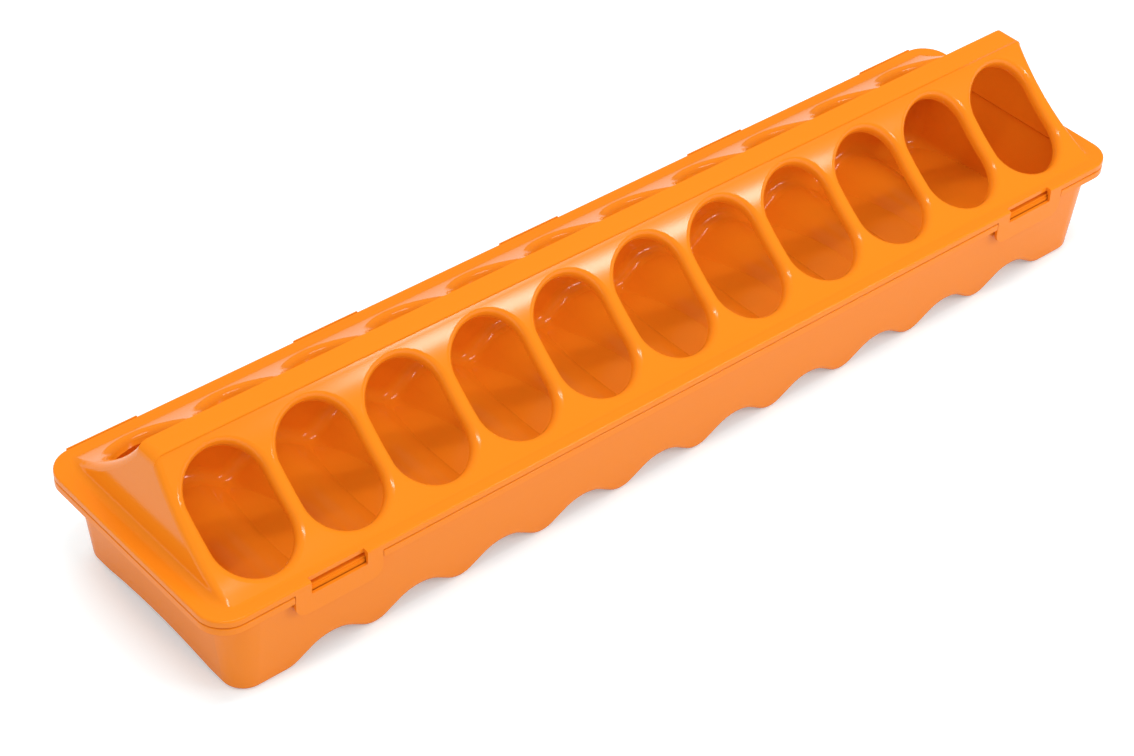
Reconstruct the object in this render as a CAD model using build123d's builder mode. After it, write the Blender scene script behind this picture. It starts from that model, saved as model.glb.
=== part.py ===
import os
from math import cos, radians, sin, tan

from build123d import *

# Overall sizes in millimetres
feeder_length = 500.0
feeder_width = 121.5
feeder_height = 89.0
rim_top = 48.2
rim_corner_radius = 13.0
wall = 2.0

# Openings along each side
openings_per_side = 11
bar_width = 7.2
end_margin = 4.6
opening_margin = 4.4
opening_shift = 0.2
collar_depth = 4.8
roll_radius = 3.3

# Lid
side_flange = 6.15
end_flange = 9.4
ridge_half_width = 5.6
ridge_rise = 0.9
roof_sag = 4.6
end_draft = 4.2
end_foot_radius = 4.0
hip_radius = 3.0
ridge_end_radius = 5.0
lid_flange = 2.0
skirt_depth = 3.5
rim_edge_radius = 1.0
seam_radius = 0.6

# Trough
lid_gap = 0.3
trough_flange = 3.2
end_taper = 12.0
side_taper = 6.65
base_corner_radius = 10.0
wall_draft = 5.8
floor = 2.0
floor_corner_radius = 6.0
edge_radius = 2.4

# Wave under the trough
arch_radius = 17.5
foot_radius = 10.5
flank_slope = 33.5
cross_rise = 4.6
pad_width = 9.5
tool_drop = 10.0

# Front clips
clip_width = 41.5
window_width = 26.5
window_sill = 41.8
tab_bottom = 32.5
tab_corner_radius = 5.5
tab_thickness = 1.4
window_notch = 2.7
clip_side_gap = 0.3
clip_play = 0.25
nub_height = 1.5
nub_proud = 0.6
nub_root = 1.0

# Hinge lugs on the back rim
lug_pitch = 110.6
lugs = 5
lug_width = 33.0
lug_proud = 0.35

# Sizes worked out from the ones above
half_width = feeder_width / 2
crease_half_width = half_width - side_flange
end_half_length = feeder_length / 2 - end_flange
opening_pitch = 2 * (end_half_length - end_margin) / openings_per_side
opening_width = opening_pitch - bar_width
base_length = feeder_length - 2 * end_taper
base_width = feeder_width - 2 * side_taper
trough_top = rim_top - skirt_depth - lid_gap
trough_flange_bottom = trough_top - trough_flange
roof_top = feeder_height - ridge_rise
clip_place = (openings_per_side - 2) / 2 * opening_pitch
tab_inner = half_width - tab_thickness
nub_bottom = window_sill + clip_play
nub_front = tab_inner - clip_play
flange_back = nub_front - nub_proud
nub_middle = flange_back - nub_root
roof_run = crease_half_width - ridge_half_width
roof_height = roof_top - rim_top
chord = (roof_run**2 + roof_height**2) ** 0.5
chord_cos = roof_run / chord
chord_sin = roof_height / chord
opening_length = chord - 2 * opening_margin
end_half_top = end_half_length - (feeder_height - rim_top) * tan(radians(end_draft))
slope_sin = sin(radians(flank_slope))
slope_cos = cos(radians(flank_slope))
slope_tan = tan(radians(flank_slope))
half_pitch = opening_pitch / 2
wave_limit = rim_top / 2
draft_limit = 2 * sin(radians(wall_draft))
hip_limit = (end_half_top + openings_per_side / 2 * opening_pitch) / 2


def wave_arch(lift):
    """Return the space under one arch, its top moved up by the lift, square to itself."""
    crest = arch_radius + lift
    foot = foot_radius - lift
    crest_x = crest * slope_sin
    foot_x = half_pitch - foot * slope_sin
    foot_y = lift + foot * (1 - slope_cos)
    flank_y = foot_y + (foot_x - crest_x) * slope_tan
    crest_y = flank_y + crest * (1 - slope_cos)
    with BuildSketch() as arch:
        with BuildLine():
            Line((-half_pitch, -tool_drop), (half_pitch, -tool_drop))
            Line((half_pitch, -tool_drop), (half_pitch, lift))
            TangentArc((foot_x, foot_y), (half_pitch, lift), tangent=(slope_cos, -slope_sin))
            Line((crest_x, flank_y), (foot_x, foot_y))
            ThreePointArc((-crest_x, flank_y), (0, crest_y), (crest_x, flank_y))
            Line((-foot_x, foot_y), (-crest_x, flank_y))
            TangentArc((-foot_x, foot_y), (-half_pitch, lift), tangent=(-slope_cos, -slope_sin))
            Line((-half_pitch, lift), (-half_pitch, -tool_drop))
        make_face()
    return arch.sketch


def cross_arch(lift):
    """Return the space under the shallow arch across the feeder, raised by the lift."""
    reach = base_width / 2 - pad_width
    with BuildSketch() as arch:
        with BuildLine():
            ThreePointArc((-reach, lift), (0, lift + cross_rise), (reach, lift))
            Polyline((reach, lift), (reach, -tool_drop), (-reach, -tool_drop), (-reach, lift))
        make_face()
    return arch.sketch


# Space under the wave
with BuildPart() as wave_space:
    with BuildSketch(Plane.XZ):
        with GridLocations(opening_pitch, 0, openings_per_side - 1, 1):
            add(wave_arch(0))
    extrude(amount=feeder_width, both=True)

# Hollow of the trough: a wavy floor one thickness above the wave, with soft corners
with BuildPart() as trough_hollow:
    with BuildSketch():
        RectangleRounded(base_length - 2 * wall, base_width - 2 * wall, base_corner_radius - wall)
    extrude(amount=rim_top, taper=-wall_draft)
    with BuildSketch(Plane.XZ):
        with GridLocations(opening_pitch, 0, openings_per_side - 1, 1):
            add(wave_arch(floor))
    extrude(amount=feeder_width, both=True, mode=Mode.SUBTRACT)
    with BuildSketch():
        Rectangle(feeder_length, feeder_width)
    extrude(amount=floor, mode=Mode.SUBTRACT)
    inner_sides = trough_hollow.faces().filter_by(lambda face: abs(face.normal_at().Z) < draft_limit)
    floor_corners = inner_sides.edges().filter_by(lambda edge: edge.bounding_box().max.Z < wave_limit)
    fillet(floor_corners, radius=floor_corner_radius)
    with BuildSketch(Plane.YZ):
        add(cross_arch(floor))
    extrude(amount=feeder_length, both=True, mode=Mode.SUBTRACT)

# Trough: drafted body with its wavy underside, rounded along the lower edge
with BuildPart() as trough:
    with BuildSketch():
        RectangleRounded(base_length, base_width, base_corner_radius)
    extrude(amount=trough_flange_bottom, taper=-wall_draft)
    add(wave_space.part, mode=Mode.SUBTRACT)
    side_faces = trough.faces().filter_by(lambda face: abs(face.normal_at().Z) < draft_limit)
    low_edges = side_faces.edges().filter_by(lambda edge: edge.bounding_box().max.Z < wave_limit)
    fillet(low_edges, radius=edge_radius)
    with BuildSketch(Plane.YZ):
        add(cross_arch(0))
    extrude(amount=feeder_length, both=True, mode=Mode.SUBTRACT)

    # Flange round the top
    with BuildSketch(Plane.XY.offset(trough_flange_bottom)):
        RectangleRounded(feeder_length, feeder_width, rim_corner_radius)
    extrude(amount=trough_flange)
    fillet(trough.edges().group_by(Axis.Z)[-1], radius=seam_radius)

    # Hinge lugs behind the flange
    with BuildSketch(Plane.XY.offset(trough_flange_bottom)):
        with Locations((0, half_width)):
            with GridLocations(lug_pitch, 0, lugs, 1):
                Rectangle(lug_width, 2 * lug_proud)
    extrude(amount=trough_flange)

    # Flange cut back behind the clips
    with BuildSketch(Plane.XY.offset(trough_flange_bottom)):
        with Locations((-clip_place, -feeder_width), (clip_place, -feeder_width)):
            Rectangle(clip_width + 2 * clip_side_gap, 2 * (feeder_width - flange_back))
    extrude(amount=trough_flange, mode=Mode.SUBTRACT)

    # Nubs that the clips catch
    with BuildSketch(Plane.XY.offset(nub_bottom)):
        with Locations((-clip_place, -nub_middle), (clip_place, -nub_middle)):
            Rectangle(window_width - 2 * clip_side_gap, 2 * (nub_front - nub_middle))
    extrude(amount=nub_height)
    add(trough_hollow.part, mode=Mode.SUBTRACT)
    trough.part.label = "trough"


def roof_outline(depth):
    """Return the section of the lid above its rim, with its skin moved in by the depth."""
    low_y = crease_half_width - depth * chord_sin
    low_z = rim_top - depth * chord_cos
    high_y = ridge_half_width - depth * chord_sin
    high_z = roof_top - depth * chord_cos
    with BuildSketch() as outline:
        with BuildLine():
            SagittaArc((low_y, low_z), (high_y, high_z), roof_sag)
            Polyline((high_y, high_z), (0, high_z), (0, low_z), (low_y, low_z))
        make_face()
        mirror(about=Plane.YZ)
    return outline.sketch


def end_outline(depth):
    """Return the side view of the roof between its two end panels, moved in by the depth."""
    low_x = end_half_length - depth
    high_x = end_half_top - depth
    with BuildSketch() as outline:
        with BuildLine():
            low_z = rim_top - depth
            Polyline((-low_x, low_z), (low_x, low_z), (high_x, feeder_height), (-high_x, feeder_height))
            Line((-high_x, feeder_height), (-low_x, low_z))
        make_face()
    return outline.sketch


def opening_plane(side):
    """Return the plane of the openings on one side, 1 for the back and -1 for the front."""
    middle_y = (crease_half_width + ridge_half_width) / 2 - opening_shift * chord_cos
    middle_z = (rim_top + roof_top) / 2 + opening_shift * chord_sin
    return Plane((0, side * middle_y, middle_z), (1, 0, 0), (0, side * chord_sin, chord_cos))


# Outside of the roof, with its flat ridge
with BuildPart() as roof:
    with BuildSketch(Plane.YZ):
        add(roof_outline(0))
    extrude(amount=feeder_length, both=True)
    with BuildSketch(Plane.YZ):
        with Locations((0, (rim_top + feeder_height) / 2)):
            Rectangle(2 * ridge_half_width, feeder_height - rim_top)
    extrude(amount=feeder_length, both=True)
    with BuildSketch(Plane.XZ):
        add(end_outline(0))
    extrude(amount=feeder_width, both=True, mode=Mode.INTERSECT)

# Collars round the openings, as deep as the skin they hang from
with BuildPart() as collars:
    for side in (-1, 1):
        with BuildSketch(opening_plane(side)):
            with GridLocations(opening_pitch, 0, openings_per_side, 1):
                SlotOverall(opening_length + 2 * wall, opening_width + 2 * wall, rotation=90)
        extrude(amount=chord / 2, both=True)
    with BuildSketch(Plane.YZ):
        add(roof_outline(collar_depth))
    extrude(amount=feeder_length, both=True, mode=Mode.SUBTRACT)

# Hollow of the lid, with the collars left standing in it
with BuildPart() as lid_hollow:
    with BuildSketch(Plane.YZ):
        add(roof_outline(wall))
    extrude(amount=feeder_length, both=True)
    with BuildSketch(Plane.XZ):
        add(end_outline(wall))
    extrude(amount=feeder_width, both=True, mode=Mode.INTERSECT)
    add(collars.part, mode=Mode.SUBTRACT)
    with BuildSketch(Plane.XY.offset(trough_top)):
        Rectangle(2 * (end_half_length - wall), 2 * (crease_half_width - wall * chord_sin))
    extrude(amount=rim_top - wall * chord_cos - trough_top)
    with BuildSketch(Plane.XY.offset(trough_top)):
        skirt_corner = rim_corner_radius - wall
        RectangleRounded(feeder_length - 2 * wall, feeder_width - 2 * wall, skirt_corner)
    extrude(amount=rim_top - lid_flange - trough_top)

# Lid: rim and roof in one
with BuildPart() as lid:
    with BuildSketch(Plane.XY.offset(rim_top - skirt_depth)):
        RectangleRounded(feeder_length, feeder_width, rim_corner_radius)
    extrude(amount=skirt_depth)
    fillet(lid.edges().group_by(Axis.Z)[-1], radius=rim_edge_radius)
    fillet(lid.edges().group_by(Axis.Z)[0], radius=seam_radius)
    add(roof.part)

    # Openings with a rolled edge, the most skilled feature
    for side in (-1, 1):
        with BuildSketch(opening_plane(side)):
            with GridLocations(opening_pitch, 0, openings_per_side, 1):
                SlotOverall(opening_length, opening_width, rotation=90)
        extrude(amount=chord / 2, both=True, mode=Mode.SUBTRACT)
    roof_faces = lid.faces().filter_by(GeomType.CYLINDER).sort_by(SortBy.AREA)[-2:]
    mouths = roof_faces.wires().filter_by(lambda wire: wire.length < feeder_length)
    fillet(mouths.edges(), radius=roll_radius)

    # Hips between the roof and its end panels
    slopes = lid.faces().filter_by(GeomType.CYLINDER).sort_by(SortBy.AREA)[-2:]
    hips = slopes.edges().filter_by(lambda edge: abs(edge.center().X) > hip_limit)
    fillet(hips, radius=hip_radius)

    # Foot of each end panel, then the ends of the ridge
    level_edges = lid.edges().filter_by(Axis.Y).filter_by_position(Axis.Z, rim_top, rim_top)
    end_feet = level_edges.filter_by(lambda edge: abs(edge.center().X) < end_half_length + wall)
    fillet(end_feet, radius=end_foot_radius)
    ridge_ends = lid.edges().group_by(Axis.Z)[-1].filter_by(Axis.Y)
    fillet(ridge_ends, radius=ridge_end_radius)

    # Hinge lugs behind the rim
    with BuildSketch(Plane.XY.offset(rim_top - skirt_depth)):
        with Locations((0, half_width)):
            with GridLocations(lug_pitch, 0, lugs, 1):
                Rectangle(lug_width, 2 * lug_proud)
    extrude(amount=skirt_depth)

    # Clip tabs hanging from the front of the rim
    with BuildSketch(Plane.XZ.offset(half_width)):
        tab_height = rim_top - lid_flange - tab_bottom
        with Locations((-clip_place, tab_bottom + tab_height / 2), (clip_place, tab_bottom + tab_height / 2)):
            Rectangle(clip_width, tab_height)
        fillet(vertices().group_by(Axis.Y)[0], radius=tab_corner_radius)
    extrude(amount=-tab_thickness)
    add(lid_hollow.part, mode=Mode.SUBTRACT)

    # Windows in the tabs, open through the rim
    with BuildSketch(Plane.XZ.offset(half_width)):
        window_height = rim_top - window_sill + lid_flange
        window_middle = window_sill + window_height / 2
        with Locations((-clip_place, window_middle), (clip_place, window_middle)):
            Rectangle(window_width, window_height)
    extrude(amount=-window_notch, mode=Mode.SUBTRACT)
    lid.part.label = "lid"

os.makedirs("parts", exist_ok=True)
export_step(trough.part, "parts/trough.step")
export_step(lid.part, "parts/lid.step")
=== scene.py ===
from math import cos, pi, radians, sin

import bpy
from mathutils import Matrix, Vector

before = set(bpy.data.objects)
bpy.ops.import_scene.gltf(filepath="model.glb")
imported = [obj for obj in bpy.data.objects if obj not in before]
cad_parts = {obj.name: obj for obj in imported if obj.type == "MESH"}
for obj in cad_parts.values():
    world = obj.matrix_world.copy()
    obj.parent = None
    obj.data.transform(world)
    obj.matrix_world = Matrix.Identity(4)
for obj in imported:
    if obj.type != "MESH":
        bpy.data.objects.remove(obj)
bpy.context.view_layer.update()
scene = bpy.context.scene

# Camera, at the photograph's viewing angle
view_azimuth = radians(-41.53)
view_elevation = radians(39.61)
view_roll = radians(2.28)
view_distance = 1.20308
view_target = Vector((-0.03192, -0.00457, 0.0225))
photo_width = 1134
focal_pixels = 2819.96

# Light levels: what the camera, a glossy ray and any other ray find all round
background_white = 1.0
mirrored_surroundings = 0.10
ambient_level = 0.90

# Floor: its grey, and for the camera a cooler colour and a glow that show it white; the cooler colour is
# painted light, cancelling the orange light bounced from the plastic into the floor's shadow
floor_grey = (0.80, 0.80, 0.80, 1)
floor_seen_against_bounce = (0.80, 0.93, 0.97, 1)
floor_glow = 0.25

# Plastic
orange = (0.90, 0.245, 0.010, 1)
gloss_roughness = 0.14
surface_reflection = 0.30
refractive_index = 1.49

studio_middle = Vector((0, 0, 0.04))


def unit_axes(azimuth, elevation, roll):
    """The camera's right, up and back: level axes for the azimuth and elevation, then turned by the roll."""
    back = Vector((sin(azimuth) * cos(elevation), -cos(azimuth) * cos(elevation), sin(elevation)))
    level = (-back).cross(Vector((0, 0, 1))).normalized()
    upright = level.cross(-back)
    right = level * cos(roll) + upright * sin(roll)
    up = upright * cos(roll) - level * sin(roll)
    return right, up, back


right, up, back = unit_axes(view_azimuth, view_elevation, view_roll)
lens = bpy.data.cameras.new("photo_camera")
lens.sensor_width = 36.0
lens.lens = focal_pixels * lens.sensor_width / photo_width
camera = bpy.data.objects.new("photo_camera", lens)
place = view_target + back * view_distance
camera.matrix_world = Matrix((
    (right.x, up.x, back.x, place.x),
    (right.y, up.y, back.y, place.y),
    (right.z, up.z, back.z, place.z),
    (0, 0, 0, 1),
))
scene.collection.objects.link(camera)
scene.camera = camera


def link(tree, source, target):
    """Join two sockets of one node tree."""
    tree.links.new(source, target)


# World: white for the camera, dim for glossy rays, even for the rest
world = bpy.data.worlds.new("studio")
scene.world = world
world.use_nodes = True
tree = world.node_tree
tree.nodes.clear()
path = tree.nodes.new("ShaderNodeLightPath")
levels = {"seen": background_white, "mirrored": mirrored_surroundings, "ambient": ambient_level}
skies = {}
for name, strength in levels.items():
    skies[name] = tree.nodes.new("ShaderNodeBackground")
    skies[name].name = name
    skies[name].inputs["Color"].default_value = (1, 1, 1, 1)
    skies[name].inputs["Strength"].default_value = strength
glossy_mix = tree.nodes.new("ShaderNodeMixShader")
camera_mix = tree.nodes.new("ShaderNodeMixShader")
output = tree.nodes.new("ShaderNodeOutputWorld")
link(tree, path.outputs["Is Glossy Ray"], glossy_mix.inputs[0])
link(tree, skies["ambient"].outputs[0], glossy_mix.inputs[1])
link(tree, skies["mirrored"].outputs[0], glossy_mix.inputs[2])
link(tree, path.outputs["Is Camera Ray"], camera_mix.inputs[0])
link(tree, glossy_mix.outputs[0], camera_mix.inputs[1])
link(tree, skies["seen"].outputs[0], camera_mix.inputs[2])
link(tree, camera_mix.outputs[0], output.inputs[0])


def softbox(name, direction, distance, width, height, level, mirrored):
    """A flat lamp of the given light level, off in one direction and facing the studio's middle."""
    data = bpy.data.lights.new(name, "AREA")
    data.shape = "RECTANGLE"
    data.size = width
    data.size_y = height
    data.energy = level * pi * width * height
    lamp = bpy.data.objects.new(name, data)
    away = Vector(direction).normalized()
    lamp.location = studio_middle + away * distance
    lamp.rotation_euler = away.to_track_quat("Z", "Y").to_euler()
    lamp.visible_glossy = mirrored
    scene.collection.objects.link(lamp)
    return lamp


# Wide lamps that light, and narrow ones that show as highlights
softbox("overhead", (0.10, 0.55, 0.83), 1.6, 1.8, 1.4, 0.45, False)
softbox("front_strip", (0.51, -0.73, 0.45), 1.5, 0.50, 0.10, 25.0, True)
softbox("top_strip", (-0.05, -0.17, 0.98), 1.5, 0.90, 0.08, 25.0, True)

# Floor
floor_mesh = bpy.data.meshes.new("floor")
floor_mesh.from_pydata([(-6, -6, 0), (6, -6, 0), (6, 6, 0), (-6, 6, 0)], [], [(0, 1, 2, 3)])
floor = bpy.data.objects.new("floor", floor_mesh)
scene.collection.objects.link(floor)
floor_paint = bpy.data.materials.new("floor")
floor_paint.use_nodes = True
tree = floor_paint.node_tree
tree.nodes.clear()
path = tree.nodes.new("ShaderNodeLightPath")
grey = tree.nodes.new("ShaderNodeBsdfDiffuse")
grey.inputs["Color"].default_value = floor_grey
# Camera-only floor colour, bluer than the grey: a painted correction that takes the orange bounce light out
# of the floor's shadow
white = tree.nodes.new("ShaderNodeBsdfDiffuse")
white.inputs["Color"].default_value = floor_seen_against_bounce
glow = tree.nodes.new("ShaderNodeEmission")
glow.inputs["Strength"].default_value = floor_glow
seen = tree.nodes.new("ShaderNodeAddShader")
camera_mix = tree.nodes.new("ShaderNodeMixShader")
output = tree.nodes.new("ShaderNodeOutputMaterial")
link(tree, white.outputs[0], seen.inputs[0])
link(tree, glow.outputs[0], seen.inputs[1])
link(tree, path.outputs["Is Camera Ray"], camera_mix.inputs[0])
link(tree, grey.outputs[0], camera_mix.inputs[1])
link(tree, seen.outputs[0], camera_mix.inputs[2])
link(tree, camera_mix.outputs[0], output.inputs[0])
floor_mesh.materials.append(floor_paint)


def moulded_plastic(name, colour):
    """Smooth moulded plastic of one colour."""
    material = bpy.data.materials.new(name)
    material.use_nodes = True
    skin = material.node_tree.nodes["Principled BSDF"]
    skin.inputs["Base Color"].default_value = colour
    skin.inputs["Roughness"].default_value = gloss_roughness
    skin.inputs["IOR"].default_value = refractive_index
    skin.inputs["Specular IOR Level"].default_value = surface_reflection
    return material


# Trough and lid, both moulded in the same orange
for name in ("trough", "lid"):
    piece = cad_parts[name]
    piece.data.materials.clear()
    piece.data.materials.append(moulded_plastic(name + "_plastic", orange))
    piece.data.shade_smooth()

scene.view_settings.view_transform = "Standard"
